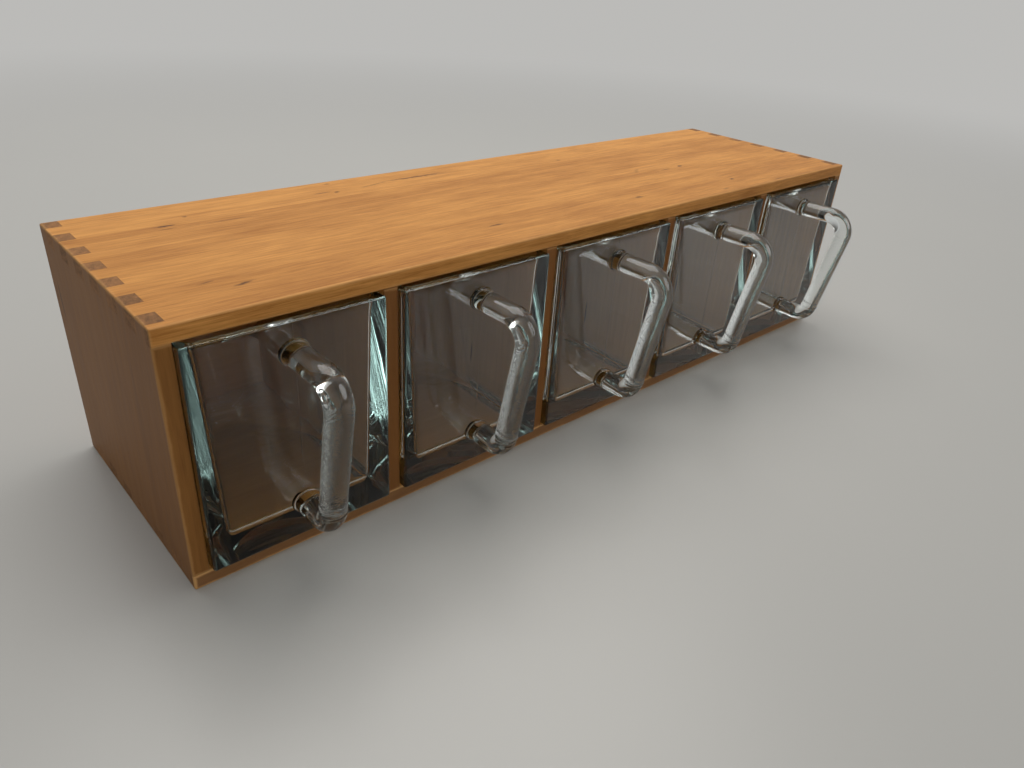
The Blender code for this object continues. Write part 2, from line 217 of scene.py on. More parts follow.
# How much each part moves the tone between dark wood and light wood.
STAVE_TONE, FIBRE_TONE, HAIR_TONE, CLOUD_TONE = 0.38, 1.45, 1.10, 1.15
MEAN_TONE, RING_TONE, PORE_TONE = 0.58, 0.08, -0.24
END_CONTRAST, END_LEAST = 0.9, 0.55
LEAST_ROUGH, FIBRE_ROUGH, END_ROUGH = 0.44, 0.16, 0.16
FIBRE_RELIEF, PORE_RELIEF, HAIR_RELIEF = 0.5, -0.8, 0.3
GLUE_LINE, GLUE_SHARE = (0.0001, 0.0004), 0.30

grain, given, result = new_group(
    "plank grain",
    [("Along Grain", "NodeSocketVector", None), ("End Face", "NodeSocketFloat", 0.0),
     ("Stave Width", "NodeSocketFloat", 0.0365), ("Streak Share", "NodeSocketFloat", 0.05),
     ("Light Wood", "NodeSocketColor", (0.70, 0.325, 0.082, 1.0)),
     ("Dark Wood", "NodeSocketColor", (0.40, 0.155, 0.028, 1.0)),
     ("End Wood", "NodeSocketColor", (0.25, 0.118, 0.045, 1.0)),
     ("Streak Wood", "NodeSocketColor", (0.10, 0.040, 0.016, 1.0))],
    [("Color", "NodeSocketColor"), ("Roughness", "NodeSocketFloat"), ("Height", "NodeSocketFloat")])

place = split(grain, given["Along Grain"])
count = calculate(grain, "DIVIDE", place["Y"], given["Stave Width"])
stave = add_node(grain, "TexVoronoi", {"W": count, "Scale": 1.0, "Randomness": STAVE_JITTER},
                 voronoi_dimensions="1D")
seam = add_node(grain, "TexVoronoi", {"W": count, "Scale": 1.0, "Randomness": STAVE_JITTER},
                voronoi_dimensions="1D", feature="DISTANCE_TO_EDGE")
lot = add_node(grain, "SeparateColor", {0: stave.outputs["Color"]}).outputs

# Every stave is cut from another place in the tree, and its fibres bend a little from side to side.
own = add_node(grain, "CombineXYZ", {
    axis: linear(grain, lot[draw], apart, place[axis])
    for axis, draw, apart in zip("XYZ", ("Red", "Green", "Blue"), STAVE_APART)}).outputs[0]
bend = calculate(grain, "SUBTRACT", noise(grain, own, BENDS), 0.5)
bend = product(grain, bend, FIBRE_BEND)
sideways = add_node(grain, "CombineXYZ", {"Y": bend}).outputs[0]
own = add_node(grain, "VectorMath", {0: own, 1: sideways}, operation="ADD").outputs[0]

sway = noise(grain, own, SWAYS, detail=3.0)
depth = linear(grain, lot["Blue"], HEART_DEPTH, HEART_LEAST)
offset = linear(grain, calculate(grain, "SUBTRACT", lot["Green"], 0.5), HEART_SPREAD, place["Y"])
radius = calculate(grain, "SQRT", calculate(
    grain, "ADD", calculate(grain, "POWER", calculate(grain, "ADD", place["Z"], depth), 2.0),
    calculate(grain, "POWER", calculate(grain, "ABSOLUTE", offset), 2.0)))
rings = calculate(grain, "SINE", calculate(
    grain, "ADD", product(grain, radius, RING_ANGLE), product(grain, sway, RING_SWAY)))
fibres = noise(grain, own, FIBRES, detail=4.0, roughness=0.6)
hairs = noise(grain, own, HAIRS)
clouds = noise(grain, own, CLOUDS, detail=4.0, roughness=0.6)
pores = step_between(grain, noise(grain, own, PORES, detail=1.0), *PORE_EDGE)

streak_cell = add_node(grain, "TexVoronoi", {
    "Vector": in_waves(grain, own, STREAKS), "Scale": 1.0, "Randomness": 1.0}, voronoi_dimensions="2D")
streak_lot = add_node(grain, "SeparateColor", {0: streak_cell.outputs["Color"]}).outputs
streak_reach = linear(grain, streak_lot["Green"], STREAK_SIZE, STREAK_LEAST)
frayed = linear(grain, calculate(grain, "SUBTRACT", fibres, 0.5), STREAK_FRAY,
                streak_cell.outputs["Distance"])
streak = product(
    grain, step_between(grain, calculate(grain, "DIVIDE", frayed, streak_reach), *STREAK_EDGE, 1.0, 0.0),
    calculate(grain, "LESS_THAN", streak_lot["Red"], given["Streak Share"]))

parts = ((lot["Red"], STAVE_TONE), (fibres, FIBRE_TONE), (hairs, HAIR_TONE), (clouds, CLOUD_TONE))
tone = linear(grain, rings, RING_TONE, MEAN_TONE - sum(weight for _, weight in parts) / 2)
for part, weight in parts:
    tone = linear(grain, part, weight, tone)
tone = linear(grain, pores, PORE_TONE, tone)
tone = add_node(grain, "Clamp", {"Value": tone}).outputs[0]

face_wood = blend_colours(grain, tone, given["Dark Wood"], given["Light Wood"])
glue = step_between(grain, product(grain, seam.outputs["Distance"], given["Stave Width"]),
                    *GLUE_LINE, GLUE_SHARE, 0.0)
face_wood = blend_colours(grain, glue, face_wood, given["Dark Wood"])
end_shade = linear(grain, tone, END_CONTRAST, END_LEAST)
end_wood = blend_colours(grain, 1.0, given["End Wood"], add_node(
    grain, "CombineColor", {0: end_shade, 1: end_shade, 2: end_shade}).outputs[0], "MULTIPLY")
wood = blend_colours(grain, given["End Face"], face_wood, end_wood)
wood = blend_colours(grain, product(grain, streak, STREAK_COVER), wood, given["Streak Wood"])

rough = linear(grain, fibres, FIBRE_ROUGH, LEAST_ROUGH)
rough = linear(grain, given["End Face"], END_ROUGH, rough)
relief = linear(grain, fibres, FIBRE_RELIEF, product(grain, pores, PORE_RELIEF))
relief = linear(grain, hairs, HAIR_RELIEF, relief)
fill(result, {"Color": wood, "Roughness": rough, "Height": relief})
print("plank grain:", len(grain.nodes), "nodes")

# %% [markdown]
# ## Worn arrises, painted highlight and painted shade
#
# Hands and cloths rub the outer edges of a case first, so the finish is thinner and paler there. The pale
# line is partly a painted highlight too, for the light that a rounded arris catches, and the edge of the
# front opening counts as an arris. Blender can find edges by ray or by curvature, but the case is a plain
# box: a point lies near an arris when it is near two of the box's faces at once, which is when the middle
# one of its three distances to them is small. The least of the three tells which faces lie outside. Those
# of the uprights and of the bottom board get painted shade, a darker tone for the shade they stand in,
# while the faces inside the bays stay pale.

# %% Node group: worn arris of a box, partly a painted highlight, and the outer faces that get painted shade
PATCHES, PATCH_GAIN, PATCH_LEAST = (60.0, 60.0, 60.0), 2.2, -0.1
SOFT_EDGE = 0.0006
OUTSIDE_SKIN = (0.0004, 0.0012)

arris_and_outside_masks, given, result = new_group(
    "worn arris",
    [("Place", "NodeSocketVector", None), ("Half Width", "NodeSocketFloat", 0.265),
     ("Half Depth", "NodeSocketFloat", 0.073), ("Half Height", "NodeSocketFloat", 0.066),
     ("Board", "NodeSocketFloat", 0.008), ("Spread", "NodeSocketFloat", 0.0010)],
    [("Wear_And_Highlight", "NodeSocketFloat"), ("Outside", "NodeSocketFloat")])

place = split(arris_and_outside_masks, given["Place"])
height = calculate(arris_and_outside_masks, "SUBTRACT", place["Z"], given["Half Height"])
gaps = [calculate(arris_and_outside_masks, "SUBTRACT", half, calculate(arris_and_outside_masks, "ABSOLUTE", spot)) for half, spot in (
    (given["Half Width"], place["X"]), (given["Half Depth"], place["Y"]), (given["Half Height"], height))]
total, most, least = (calculate(arris_and_outside_masks, way, calculate(arris_and_outside_masks, way, *gaps[:2]), gaps[2])
                      for way in ("ADD", "MAXIMUM", "MINIMUM"))
middle = calculate(arris_and_outside_masks, "SUBTRACT", calculate(arris_and_outside_masks, "SUBTRACT", total, most), least)
# The edge of the front opening, on top of the bottom board and under the top one, counts as an arris too; its
# pale line is partly a painted highlight.
lip = calculate(arris_and_outside_masks, "ABSOLUTE", calculate(arris_and_outside_masks, "SUBTRACT", gaps[2], given["Board"]))
middle = calculate(arris_and_outside_masks, "MINIMUM", middle, calculate(arris_and_outside_masks, "MAXIMUM", gaps[1], lip))
patchy = noise(arris_and_outside_masks, given["Place"], PATCHES, detail=4.0, roughness=0.65)
reach = product(arris_and_outside_masks, given["Spread"], linear(arris_and_outside_masks, patchy, PATCH_GAIN, PATCH_LEAST))
past = calculate(arris_and_outside_masks, "SUBTRACT", middle, reach)
fill(result, {"Wear_And_Highlight": step_between(arris_and_outside_masks, past, -SOFT_EDGE, SOFT_EDGE, 1.0, 0.0),
              "Outside": step_between(arris_and_outside_masks, least, *OUTSIDE_SKIN, 1.0, 0.0)})
print("worn arris:", len(arris_and_outside_masks.nodes), "nodes")

# %% [markdown]
# ## Finishes of the boards
#
# The top and the bottom run lengthwise, so their grain lies along X. The sides and the dividers stand
# upright, with the grain along Z: a Mapping node turns the pattern for them. A face is end grain where
# its normal points along the grain. That is why the fingers of a joint look darker than the board around
# them.
#
# Here and there a drop of gum dried in the wood, or a bud left a pin knot. On the top board they sit in
# known places, so they are listed: each is an oval, stretched along the grain, whose rim is frayed by a
# noise.

# %% Gum marks of the top board
GUM = (0.075, 0.030, 0.012, 1.0)
GUM_FRAY, FRAY_REACH, GUM_EDGE = (300.0, 1300.0, 1300.0), 2.2, (0.2, 1.3)
UPPER_HALF = (0.10, 0.11)
# A mark goes right through the board, so its third half size is longer than the board is thick.
THROUGH_BOARD = 100.0
# Place in millimetres from the middle of the board, half length, half width, tilt in degrees, strength.
GUM_MARKS = ((-217, 38.5, 6, 1.1, 0, 0.9), (-217, 33.8, 4.5, 0.7, 0, 0.5), (-186, 33, 21, 0.5, -2, 0.5),
             (-203, 48.5, 1.4, 1.2, 0, 0.6), (-112, 50, 2, 1.4, 30, 0.75), (-109, 67.5, 2, 1.2, 0, 0.6),
             (-84, 53.3, 10, 1.0, 12, 0.5), (-50, 55.8, 25, 1.5, 0, 0.75), (-229, -41, 4, 0.8, 10, 0.55),
             (-216, -50, 5, 1.1, 12, 0.9), (-70, -46, 5.5, 1.0, 2, 0.75), (45, -50, 3.5, 1.4, 0, 0.75),
             (96, -5, 6, 1.8, 35, 0.3), (137.5, -11, 3.2, 1.7, 15, 0.75), (142, -53.7, 2.8, 1.4, 20, 0.8),
             (116, -67, 4, 1.0, 0, 0.45), (66, 44, 3, 1.5, 20, 0.35))


def gum_mask(tree, spot, marks):
    """How much gum is at a place: ragged ovals on the upper half of the case."""
    fray = noise(tree, spot, GUM_FRAY, roughness=0.6)
    mask = 0.0
    for x, y, half_length, half_width, tilt, strength in marks:
        inside = add_node(tree, "Mapping", {
            "Vector": spot, "Location": (x / 1000, y / 1000, 0.0), "Rotation": (0.0, 0.0, math.radians(tilt)),
            "Scale": (half_length / 1000, half_width / 1000, THROUGH_BOARD)},
            vector_type="TEXTURE").outputs[0]
        away = add_node(tree, "VectorMath", {0: inside}, operation="LENGTH").outputs["Value"]
        ragged = linear(tree, calculate(tree, "SUBTRACT", fray, 0.5), FRAY_REACH, away)
        mask = calculate(tree, "MAXIMUM", mask, step_between(tree, ragged, *GUM_EDGE, strength, 0.0))
    height = split(tree, spot)["Z"]
    return product(tree, mask, step_between(tree, height, *UPPER_HALF))


print(len(GUM_MARKS), "gum marks")


# %% Wood materials
# A rubbed arris is paler; the same colour is also a painted highlight on the rounded arrises.
RUBBED_AND_HIGHLIT = (0.66, 0.37, 0.14, 1.0)
END_FACING = (0.55, 0.85)
GRAIN_RELIEF, GRAIN_DEPTH = 0.35, 0.0001


def wood_finish(name, grain_axis, turn, shift, streak_share, painted_shade=None, colours=None, satin=0.22,
                wear_and_highlight=0.35, marks=()):
    """A board's finish: grain along one axis, darker where it is cut across, paler on its arrises from wear
    and a painted highlight, and with painted shade on its outer faces when a shade colour is given.
    """
    material, tree, shader = new_material(name, display_colour=(0.55, 0.27, 0.09))
    spot = add_node(tree, "TexCoord").outputs
    turned = add_node(tree, "Mapping", {
        "Vector": spot["Object"], "Rotation": turn, "Location": shift})
    facing = split(tree, spot["Normal"])[grain_axis]
    end_face = step_between(tree, calculate(tree, "ABSOLUTE", facing), *END_FACING)
    plank = add_node(tree, "Group", {
        "Along Grain": turned.outputs[0], "End Face": end_face, "Streak Share": streak_share,
        **(colours or {})}, node_tree=grain)
    arris_and_outside = add_node(tree, "Group", {"Place": spot["Object"]}, node_tree=arris_and_outside_masks)
    colour = plank.outputs["Color"]
    # Painted shade: the outer faces of the uprights and of the bottom board are darkened for the shade they
    # stand in.
    if painted_shade:
        shaded_face = product(tree, arris_and_outside.outputs["Outside"], calculate(tree, "SUBTRACT", 1.0, end_face))
        colour = blend_colours(tree, shaded_face, colour, painted_shade, "MULTIPLY")
    # Pale arris: partly wear, partly a painted highlight.
    share = product(tree, arris_and_outside.outputs["Wear_And_Highlight"], wear_and_highlight)
    colour = blend_colours(tree, share, colour, RUBBED_AND_HIGHLIT)
    if marks:
        colour = blend_colours(tree, gum_mask(tree, spot["Object"], marks), colour, GUM)
    bump = add_node(tree, "Bump", {
        "Height": plank.outputs["Height"], "Strength": GRAIN_RELIEF, "Distance": GRAIN_DEPTH})
    fill(shader, {"Base Color": colour, "Roughness": plank.outputs["Roughness"], "Normal": bump.outputs[0],
                  "Specular IOR Level": satin})
    return material


LENGTHWISE, UPRIGHT = (0.0, 0.0, 0.0), (0.0, math.radians(90.0), 0.0)
# Painted shade, multiplied into the outer faces of the sides, the front edges of the dividers and the outside
# of the bottom board.
SIDE_PAINTED_SHADE, DIVIDER_PAINTED_SHADE = (0.425, 0.40, 0.365, 1.0), (0.41, 0.37, 0.37, 1.0)
LOW_PAINTED_SHADE = (0.44, 0.48, 0.78, 1.0)
# The sides are of a milder lot than the top, with less between light and dark fibres, the rest of a calm one.
MILD = {"Light Wood": (0.655, 0.298, 0.074, 1.0), "Dark Wood": (0.465, 0.194, 0.041, 1.0)}
CALM = {"Light Wood": (0.615, 0.277, 0.067, 1.0), "Dark Wood": (0.510, 0.217, 0.048, 1.0)}
top_wood = wood_finish("top board wood", "X", LENGTHWISE, (0.0, 0.017, 0.0), 0.03, marks=GUM_MARKS)
# The bottom board's arrises are made nearly all pale, partly a painted highlight along the edge of the front
# opening.
bottom_wood = wood_finish("bottom board wood", "X", LENGTHWISE, (0.4, 0.017, 0.0), 0.01, LOW_PAINTED_SHADE, CALM,
                          wear_and_highlight=0.9)
side_wood = wood_finish("side board wood", "Z", UPRIGHT, (0.3, 0.2, 0.1), 0.05, SIDE_PAINTED_SHADE, MILD)
divider_wood = wood_finish("divider wood", "Z", UPRIGHT, (0.9, 0.5, 0.0), 0.04, DIVIDER_PAINTED_SHADE, CALM)
print("wood finishes:", [m.name for m in (top_wood, bottom_wood, side_wood, divider_wood)])

# %% [markdown]
# ## Boards with finger joints
#
# The four outer boards lock into each other with fingers, glued and planed flush. A finger board could be
# cut with Boolean boxes. Here it is grown the way one would draw it: a plain plank is sliced across at
# every finger line, and then every second end face is pulled out by the thickness of the other board. The
# joints are closed up to a hair, and only the outer arrises and those round the front opening are
# rounded, because a flush joint has none.

# %% Sizes of the case
case_low, case_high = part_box("top_board")
case_low.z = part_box("bottom_board")[0].z
BOARD = case_high.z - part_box("top_board")[0].z
FRONT, BACK = case_low.y, case_high.y
INNER_RIGHT = case_high.x - BOARD
UNDER_TOP = case_high.z - BOARD
FINGER_WIDTH = 0.0103
FINGER_SPACE = 0.0116
HAIR, TOUCH = 0.00006, 2e-5
side_spans = []
edge = BACK
while edge - FINGER_WIDTH > FRONT:
    side_spans.append((edge - FINGER_WIDTH, edge))
    edge -= FINGER_WIDTH + FINGER_SPACE
board_spans = [(behind[1], ahead[0]) for ahead, behind in zip(side_spans, side_spans[1:])]
board_spans.append((FRONT, side_spans[-1][0]))
print(len(side_spans), "fingers on each side board,", len(board_spans), "on each end of the long boards")


# %% Helpers that grow a board
ARRIS, ARRIS_STEPS = 0.0009, 3
SHARP = math.radians(40.0)
NEAR_OPENING, CUT_TOLERANCE = 2e-4, 1e-7
FACING = 0.9


def once(items):
    """Every item once, in the order they came in, so that each run gives the same mesh."""
    return list(dict.fromkeys(items))


def plank(low, high):
    """A plain plank between two corners."""
    bm = bmesh.new()
    bmesh.ops.create_cube(bm, size=1.0)
    bmesh.ops.scale(bm, vec=high - low, verts=bm.verts)
    bmesh.ops.translate(bm, vec=(low + high) / 2, verts=bm.verts)
    return bm


def slice_across(bm, axis, spots):
    """Cut new edges round the plank, straight across one axis."""
    normal = Vector()
    normal[axis] = 1.0
    for spot in spots:
        bmesh.ops.bisect_plane(bm, geom=bm.verts[:] + bm.edges[:] + bm.faces[:], dist=CUT_TOLERANCE,
                               plane_co=normal * spot, plane_no=normal)


def pull_fingers(bm, axis, spans, reach):
    """Pull every end face inside a span out, at both ends of the board."""
    bm.normal_update()
    for side in (-1.0, 1.0):
        ends = [face for face in bm.faces if face.normal[axis] * side > FACING
                and any(front < face.calc_center_median().y < back for front, back in spans)]
        grown = bmesh.ops.extrude_discrete_faces(bm, faces=ends)["faces"]
        move = Vector()
        move[axis] = side * reach
        bmesh.ops.translate(bm, vec=move, verts=once(vert for face in grown for vert in face.verts))
    bm.normal_update()


def near(value, spots):
    """Whether a value meets one of a few spots."""
    return any(abs(value - spot) < TOUCH for spot in spots)


def meets_arris(point):
    """Whether a point lies on an outer arris of the case, or on the edge of its front opening."""
    faces = near(point.x, (case_low.x, case_high.x)) + near(point.y, (FRONT, BACK))
    faces += near(point.z, (case_low.z, case_high.z))
    in_front = near(point.y, (FRONT,)) and abs(point.x) < INNER_RIGHT + NEAR_OPENING
    upright = case_low.z + BOARD - NEAR_OPENING < point.z < UNDER_TOP + NEAR_OPENING
    return faces > 1 or (in_front and upright)


def round_edges(bm, edges):
    """Give edges the small round of a sanded arris."""
    bmesh.ops.bevel(bm, geom=edges, offset=ARRIS, offset_type="OFFSET", segments=ARRIS_STEPS, profile=0.5,
                    affect="EDGES", material=-1, clamp_overlap=True)


def round_arrises(bm):
    """Round the edges that a hand can reach."""
    round_edges(bm, [edge for edge in bm.edges if edge.calc_face_angle(0.0) > SHARP
                     and meets_arris((edge.verts[0].co + edge.verts[1].co) / 2)])


def finish_piece(bm, name, material, body, node):
    """Make the piece from its bmesh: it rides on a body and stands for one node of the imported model."""
    mesh = bpy.data.meshes.new(name)
    bm.to_mesh(mesh)
    bm.free()
    mesh.shade_smooth()
    mesh.set_sharp_from_angle(angle=SHARP)
    mesh.materials.append(material)
    piece = bpy.data.objects.new(name, mesh)
    scene.collection.objects.link(piece)
    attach(piece, body)
    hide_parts(node)
    even = piece.modifiers.new("flat faces stay flat", "WEIGHTED_NORMAL")
    even.keep_sharp = True
    print(name, len(mesh.polygons), "faces")


print("board helpers are ready")

# %% [markdown]
# The back panel lies in a rabbet, a step cut round the inside of the back edge. It runs through the
# corner fingers and stops inside the case, so a Boolean box is the plain way to cut it, as the router
# does.

# %% Rabbet for the back panel
panel_low, panel_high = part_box("back_panel")
LEDGE = panel_low.y - HAIR


def cut_rabbet(bm):
    """Cut the seat of the back panel out of a board."""
    scrap = []
    for name, source in (("blank", bm), ("rabbet", plank(
            Vector((panel_low.x - HAIR, LEDGE, panel_low.z - HAIR)),
            Vector((panel_high.x + HAIR, BACK + BOARD, panel_high.z + HAIR))))):
        mesh = bpy.data.meshes.new(name)
        source.to_mesh(mesh)
        source.free()
        scrap.append(bpy.data.objects.new(name, mesh))
        scene.collection.objects.link(scrap[-1])
    saw = scrap[0].modifiers.new("rabbet", "BOOLEAN")
    saw.operation = "DIFFERENCE"
    saw.object = scrap[1]
    bpy.context.view_layer.update()
    whole = scrap[0].evaluated_get(bpy.context.evaluated_depsgraph_get())
    cut = bmesh.new()
    cut.from_mesh(whole.to_mesh())
    whole.to_mesh_clear()
    for left_over in scrap:
        bpy.data.objects.remove(left_over, do_unlink=True)
    return cut


print("ledge of the rabbet at", round(LEDGE, 4))

# %% Top and bottom boards
def long_board(node, low_z, high_z, wood):
    """A lengthwise board with fingers at both ends."""
    bm = plank(Vector((-INNER_RIGHT, FRONT, low_z)), Vector((INNER_RIGHT, BACK, high_z)))
    spans = [(front + (HAIR if front > FRONT else 0.0), back - HAIR) for front, back in board_spans]
    slice_across(bm, 1, [spot for span in spans for spot in span if FRONT < spot < BACK])
    pull_fingers(bm, 0, spans, BOARD)
    round_arrises(bm)
    finish_piece(cut_rabbet(bm), "wood_" + node, wood, "cabinet", node)


long_board("top_board", UNDER_TOP, case_high.z, top_wood)
long_board("bottom_board", case_low.z, case_low.z + BOARD, bottom_wood)


# %% Side boards
def side_board(node, low_x, high_x):
    """An upright board with fingers above and below."""
    bm = plank(Vector((low_x, FRONT, case_low.z + BOARD + HAIR)), Vector((high_x, BACK, UNDER_TOP - HAIR)))
    slice_across(bm, 1, [spot for span in side_spans for spot in span if FRONT < spot < BACK])
    pull_fingers(bm, 2, side_spans, BOARD + HAIR)
    round_arrises(bm)
    finish_piece(cut_rabbet(bm), "wood_" + node, side_wood, "cabinet", node)


side_board("left_side", case_low.x, -INNER_RIGHT - HAIR)
side_board("right_side", INNER_RIGHT + HAIR, case_high.x)

# %% Dividers
dividers = sorted(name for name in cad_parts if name.startswith("divider_"))
for node in dividers:
    low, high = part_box(node)
    bm = plank(Vector((low.x, FRONT, case_low.z + BOARD + HAIR)),
               Vector((high.x, LEDGE - HAIR, UNDER_TOP - HAIR)))
    bm.normal_update()
    round_edges(bm, [edge for edge in bm.edges if all(near(vert.co.y, (FRONT,)) for vert in edge.verts)
                     and abs(edge.verts[0].co.z - edge.verts[1].co.z) > BOARD])
    finish_piece(bm, "wood_" + node, divider_wood, "cabinet", node)

# %% [markdown]
# ## Back panel and its pins
#
# A thin veneered panel closes the back, held by small steel pins. Both are right as they come from the
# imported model, so they keep their shape and only get a finish. The panel takes the same grain group with
# a duller, browner wood. Its dull look comes from a lower specular level, because nobody polishes the
# back of a cabinet.

# %% Finishes of the back panel and the pins
PANEL_COLOURS = {"Light Wood": (0.575, 0.236, 0.072, 1.0), "Dark Wood": (0.485, 0.189, 0.053, 1.0),
                 "End Wood": (0.18, 0.080, 0.03, 1.0)}
panel_wood = wood_finish("back panel wood", "X", LENGTHWISE, (0.6, 0.04, 0.02), 0.02, colours=PANEL_COLOURS,
                         satin=0.15, wear_and_highlight=0.0)

BRIGHT_STEEL, TARNISHED = (0.56, 0.55, 0.53, 1.0), (0.21, 0.15, 0.11, 1.0)
TARNISH, TARNISH_EDGE = (1400.0, 1400.0, 1400.0), (0.42, 0.68)
DULL_EDGE, STEEL_ROUGHNESS = (0.35, 0.70), (0.28, 0.55)
DENT_RELIEF, DENT_DEPTH = 0.3, 0.0001
pin_steel, tree, shader = new_material("pin steel", display_colour=(0.55, 0.54, 0.52))
spot = add_node(tree, "TexCoord").outputs["Object"]
tarnish = noise(tree, spot, TARNISH, detail=4.0, roughness=0.65)
steel = blend_colours(tree, step_between(tree, tarnish, *TARNISH_EDGE), BRIGHT_STEEL, TARNISHED)
dullness = step_between(tree, tarnish, *DULL_EDGE, *STEEL_ROUGHNESS)
dents = add_node(tree, "Bump", {"Height": tarnish, "Strength": DENT_RELIEF, "Distance": DENT_DEPTH})
fill(shader, {"Base Color": steel, "Roughness": dullness, "Normal": dents.outputs[0], "Metallic": 1.0})
pins = sorted(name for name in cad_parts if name.startswith("panel_pin_"))
for node, finish in [("back_panel", panel_wood)] + [(pin, pin_steel) for pin in pins]:
    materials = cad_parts[node].data.materials
    materials.clear()
    materials.append(finish)
print("back panel and", len(pins), "pins have their finish")

# %% [markdown]
# ## Glass scoop
#
# A scoop is pressed from one gob of glass: a mould shapes the outside, and a plunger the inside. The
# plunger has to come out again, so the hollow narrows toward the floor while the outside stays square. At
# the rear the walls draw together into a leaning, round-nosed spout for pouring. Walls and floor are
# thick, which gives the deep green edges. The shape is built as the press sees it, from level rings: up
# the outside, over the rim and down into the hollow. Each ring starts as a sheet with five corners, which
# are bevelled round, and bridge_loops skins the rings.

# %% Sizes of a scoop
GLASS_PROUD, REAR_CLEARANCE = 0.0035, 0.0005
SIDE_WALL, FRONT_WALL, REAR_WALL, FLOOR = 0.0055, 0.006, 0.006, 0.010
SIDE_DRAFT, FRONT_DRAFT, SPOUT_LEAN, SPOUT_FLANK = (math.radians(angle) for angle in (2.4, 1.0, 18.0, 47.5))
HEEL, FLOOR_FILLET = 0.012, 0.008
OUTER_CORNER, HOLLOW_CORNER, LEAST_CORNER = 0.0016, 0.003, 0.0006
SHOULDER, NOSE = 0.034, 0.030
LOWER_ROUND, RIM_ROUND, RIM_FLARE, RIM_FALL = 0.0016, 0.0013, 0.0016, 0.0066
scoop_low, scoop_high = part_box("glass_drawer_3")
SCOOP_WIDTH = scoop_high.x - scoop_low.x
SCOOP_HEIGHT = scoop_high.z - scoop_low.z
SCOOP_LENGTH = panel_low.y - REAR_CLEARANCE - (FRONT - GLASS_PROUD)
HEEL_STEPS, LOWER_STEPS, RIM_STEPS, FILLET_STEPS, CORNER_STEPS = 8, 5, 6, 10, 10
print("scoop:", [round(side, 4) for side in (SCOOP_WIDTH, SCOOP_LENGTH, SCOOP_HEIGHT)], "m, without handle")


# %% Walls of the scoop at a height
def quarter(steps):
    """Even angles from 0 to a right angle."""
    return [math.pi / 2 * index / steps for index in range(steps + 1)]


def spout(z):
    """Tip of the leaning spout, without the heel."""
    return SCOOP_LENGTH - (SCOOP_HEIGHT - z) * math.tan(SPOUT_LEAN)


heel_levels = [HEEL * (1 - math.cos(turn * (1 - SPOUT_LEAN * 2 / math.pi))) for turn in quarter(HEEL_STEPS)]
heel_start = spout(0.0) - HEEL * math.tan(math.pi / 4 - SPOUT_LEAN / 2)


def outside(z, inset=0.0, nose_inset=None):
    """Height, half width, front, tip, and the radii of front corners, shoulders and nose of the outside."""
    tip = spout(z)
    if z < heel_levels[-1]:
        tip = heel_start + math.sqrt(HEEL ** 2 - (HEEL - z) ** 2)
    nose_inset = inset if nose_inset is None else nose_inset
    return (z, SCOOP_WIDTH / 2 - inset, inset, tip - nose_inset,
            max(OUTER_CORNER - inset, LEAST_CORNER), SHOULDER - inset, NOSE - inset)


def hollow(z, inset=0.0):
    """The same for the hollow, which narrows toward its floor."""
    drop = SCOOP_HEIGHT - z
    half = SCOOP_WIDTH / 2 - SIDE_WALL - drop * math.tan(SIDE_DRAFT)
    tip = spout(z) - REAR_WALL / math.cos(SPOUT_LEAN)
    return (z, half - inset, FRONT_WALL + drop * math.tan(FRONT_DRAFT) + inset, tip - inset,
            max(HOLLOW_CORNER - inset, LEAST_CORNER), SHOULDER - SIDE_WALL - inset, NOSE - REAR_WALL - inset)


levels = []
for z in sorted({LOWER_ROUND * (1 - math.cos(turn)) for turn in quarter(LOWER_STEPS)} | set(heel_levels)):
    rise = max(LOWER_ROUND - z, 0.0)
    levels.append(outside(z, LOWER_ROUND - math.sqrt(LOWER_ROUND ** 2 - rise ** 2), 0.0))
for turn in quarter(RIM_STEPS):
    levels.append(outside(SCOOP_HEIGHT - RIM_ROUND * (1 - math.sin(turn)), RIM_ROUND * (1 - math.cos(turn))))
# Two rings in one plane could be bridged the wrong way round, so the hollow starts a hair lower.
for turn in reversed(quarter(RIM_STEPS)):
    levels.append(hollow(SCOOP_HEIGHT - HAIR - RIM_ROUND * (1 - math.sin(turn)),
                         -RIM_FLARE - RIM_ROUND * (1 - math.cos(turn))))
levels.append(hollow(SCOOP_HEIGHT - RIM_FALL))
for turn in quarter(FILLET_STEPS):
    levels.append(hollow(FLOOR + FLOOR_FILLET * (1 - math.sin(turn)), FLOOR_FILLET * (1 - math.cos(turn))))
print(len(levels), "level rings")


# %% The bowl, skinned over its rings
def ring_edges(bm, ring):
    """One level ring: a five-cornered sheet with its corners rounded, of which only the outline stays."""
    z, half, front, tip, front_corner, shoulder, nose = ring
    apex = tip + nose * (1 / math.cos(SPOUT_FLANK) - 1)
    shoulder_y = apex - half * math.tan(SPOUT_FLANK)
    spots = ((-half, front), (half, front), (half, shoulder_y), (0.0, apex), (-half, shoulder_y))
    corners = [bm.verts.new((x, y, z)) for x, y in spots]
    bm.faces.new(corners)
    turn = math.pi / 2 - SPOUT_FLANK
    outline = []
    for chosen, reach in ((corners[:2], front_corner),
                          ([corners[2], corners[4]], shoulder * math.tan(turn / 2)),
                          (corners[3:4], nose * math.tan(SPOUT_FLANK))):
        made = bmesh.ops.bevel(bm, geom=chosen, offset=reach, offset_type="OFFSET", segments=CORNER_STEPS,
                               profile=0.5, affect="VERTICES", material=-1)
        outline += made["verts"]
    edges = once(edge for vert in outline for edge in vert.link_edges)
    faces = once(face for vert in outline for face in vert.link_faces)
    bmesh.ops.delete(bm, geom=faces, context="FACES_ONLY")
    return edges


